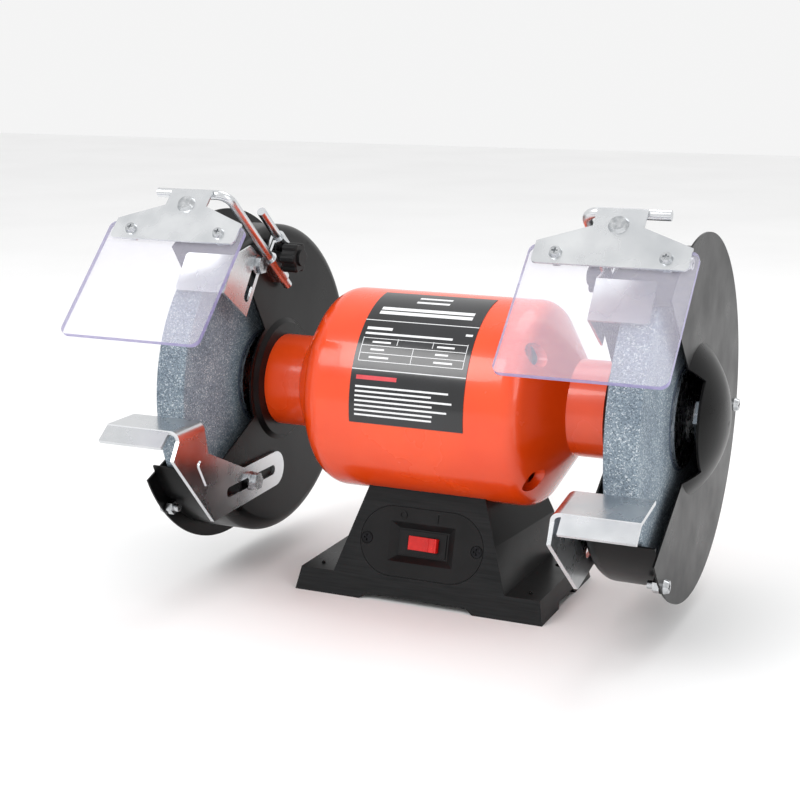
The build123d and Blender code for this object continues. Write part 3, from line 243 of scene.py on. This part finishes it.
# geometry nodes: flat bars set round the shaft line, one under another, with varied lengths
def barTree():
    tree = bpy.data.node_groups.new("labelBars", "GeometryNodeTree")
    face = tree.interface
    face.new_socket("Geometry", in_out="INPUT", socket_type="NodeSocketGeometry")
    sizes = [(name, "Float") for name in ("Start", "Step", "Left", "Length", "Height", "Shortest", "Radius")]
    for name, kind in [("Count", "Int")] + sizes + [("Material", "Material")]:
        face.new_socket(name, in_out="INPUT", socket_type="NodeSocket" + kind)
    face.new_socket("Geometry", in_out="OUTPUT", socket_type="NodeSocketGeometry")
    given = addNode(tree, "NodeGroupInput").outputs
    index = addNode(tree, "GeometryNodeInputIndex").outputs[0]
    angle = calc(tree, "MULTIPLY_ADD", index, given["Step"], given["Start"])
    share = addNode(tree, "FunctionNodeRandomValue", {"Min": given["Shortest"]}, {"Max": 1.0, "Seed": 4})
    share = next(s for s in share.outputs if s.enabled)
    length = calc(tree, "MULTIPLY", share, given["Length"])
    x = calc(tree, "MULTIPLY_ADD", length, 0.5, given["Left"])
    y = calc(tree, "SUBTRACT", shaftY, calc(tree, "MULTIPLY", given["Radius"], calc(tree, "COSINE", angle)))
    z = calc(tree, "MULTIPLY_ADD", given["Radius"], calc(tree, "SINE", angle), shaftZ)
    place = addNode(tree, "ShaderNodeCombineXYZ", {"X": x, "Y": y, "Z": z}).outputs[0]
    turn = addNode(tree, "ShaderNodeCombineXYZ", {"X": calc(tree, "SUBTRACT", radians(90), angle)}).outputs[0]
    size = addNode(tree, "ShaderNodeCombineXYZ", {"X": length, "Y": given["Height"]}, {"Z": 0.06 * mm}).outputs[0]
    line = addNode(tree, "GeometryNodeMeshLine", {"Count": given["Count"]})
    points = addNode(tree, "GeometryNodeSetPosition", {"Geometry": line.outputs[0], "Position": place}).outputs[0]
    cube = addNode(tree, "GeometryNodeMeshCube", values={"Size": (1, 1, 1)}).outputs[0]
    bars = addNode(tree, "GeometryNodeInstanceOnPoints",
                   {"Points": points, "Instance": cube, "Rotation": turn, "Scale": size}).outputs[0]
    real = addNode(tree, "GeometryNodeRealizeInstances", {"Geometry": bars}).outputs[0]
    inked = addNode(tree, "GeometryNodeSetMaterial", {"Geometry": real, "Material": given["Material"]})
    addNode(tree, "NodeGroupOutput", {"Geometry": inked.outputs[0]})
    return tree


barsTree = barTree()
barSockets = {item.name: item.identifier for item in barsTree.interface.items_tree
              if item.item_type == "SOCKET" and item.in_out == "INPUT"}


# one printed piece on the rating plate, made by the bar tree and then turned into a plain mesh
def printBars(name, given, ink):
    piece = bpy.data.objects.new(name, bpy.data.meshes.new(name))
    scene.collection.objects.link(piece)
    modifier = piece.modifiers.new("bars", "NODES")
    modifier.node_group = barsTree
    for key, value in dict(given, Radius=labelRadius, Material=materials[ink]).items():
        modifier[barSockets[key]] = value
    bpy.context.view_layer.update()
    baked = bpy.data.meshes.new_from_object(piece.evaluated_get(bpy.context.evaluated_depsgraph_get()))
    piece.modifiers.clear()
    piece.data = baked
    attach(piece, "frame")


# rows of bars in the plate's terms: degrees above the front horizontal, millimetres across
def rows(count, top, step, left, length, height, shortest=1.0):
    return {"Count": count, "Start": radians(top), "Step": radians(-step), "Left": left * mm,
            "Length": length * mm, "Height": height * mm, "Shortest": shortest}


# an upright rule, made of bars one degree apart that meet end to end
def upright(top, bottom, left, width):
    return rows(int(top - bottom) + 1, top, 1.0, left, width, 1.16)


marks = {
    "rule_upper": (rows(1, 53.4, 1, -37.7, 75.4, 0.55), "print_white"),
    "rule_lower": (rows(1, 23.0, 1, -37.7, 75.4, 0.55), "print_white"),
    "top_bars": (rows(2, 76.5, 5.0, -11.0, 22.0, 2.2), "print_white"),
    "heading_bars": (rows(2, 63.4, 3.6, -31.0, 62.0, 2.9), "print_white"),
    "model_bar": (rows(1, 47.6, 1, -34.5, 17.0, 2.0), "print_white"),
    "detail_bar": (rows(1, 44.2, 1, -34.5, 58.0, 1.5), "print_white"),
    "side_bar": (rows(1, 47.6, 1, 31.0, 4.5, 1.6), "print_white"),
    "table_rules": (rows(4, 41.2, 4.5, -34.5, 69.0, 0.4), "print_white"),
    "table_left": (upright(41.2, 27.7, -34.7, 0.4), "print_white"),
    "table_right": (upright(41.2, 27.7, 34.3, 0.4), "print_white"),
    "table_divider_a": (upright(41.2, 37.7, -11.5, 0.4), "print_white"),
    "table_divider_b": (upright(41.2, 37.7, 12.0, 0.4), "print_white"),
    "table_divider_c": (upright(36.2, 27.7, 0.0, 0.4), "print_white"),
    "table_text_a": (rows(3, 38.9, 4.5, -28.0, 14.0, 1.2, 0.6), "print_white"),
    "table_text_b": (rows(3, 38.9, 4.5, 15.0, 13.0, 1.2, 0.6), "print_white"),
    "red_heading": (rows(1, 18.6, 1, -34.0, 27.0, 2.6), "print_red"),
    "paragraph": (rows(7, 13.6, 2.55, -34.0, 67.0, 1.15, 0.72), "print_white"),
}
for markName, (given, ink) in marks.items():
    printBars(markName, given, ink)
print("label marks", len(marks))

floorData = bpy.data.meshes.new("floor")
floorData.from_pydata([(-4, -4, 0), (4, -4, 0), (4, 4, 0), (-4, 4, 0)], [], [(0, 1, 2, 3)])
floor = bpy.data.objects.new("floor", floorData)
scene.collection.objects.link(floor)
paleFloor = dict(stops=[(0.3, "F4F4F4"), (0.7, "F8F8F8")], rough=(0.6, 0.7), mottle=300, grain=5,
                 bump=0.02, depth=0.1)
floorData.materials.append(finish("pale_floor", paleFloor))

world = bpy.data.worlds.new("studio")
world.use_nodes = True
world.node_tree.nodes["Background"].inputs["Color"].default_value = colour("FAFAFA")
world.node_tree.nodes["Background"].inputs["Strength"].default_value = 0.95
scene.world = world
scene.view_settings.view_transform = "Standard"


def softLight(name, place, target, size, power):
    data = bpy.data.lights.new(name, "AREA")
    data.size, data.energy = size, power
    lamp = bpy.data.objects.new(name, data)
    scene.collection.objects.link(lamp)
    lamp.location = place
    aim(lamp, target)


def aim(thing, target):
    thing.rotation_euler = (Vector(target) - thing.location).to_track_quat("-Z", "Y").to_euler()


softLight("key", (-0.9, -1.3, 1.5), (0, 0, 0.12), 0.9, 13)
softLight("fill", (1.4, -0.9, 0.8), (0, 0, 0.12), 0.8, 6)
softLight("top", (0.1, 0.5, 1.6), (0, 0, 0.12), 1.0, 7)

cameraData = bpy.data.cameras.new("camera")
cameraData.sensor_width, cameraData.lens = 36.0, 70.28
camera = bpy.data.objects.new("camera", cameraData)
scene.collection.objects.link(camera)
camera.location = (0.3718, -0.9074 + shaftY, 0.3502)
aim(camera, (-0.0322, shaftY, 0.1209))
scene.camera = camera
print("stage set")
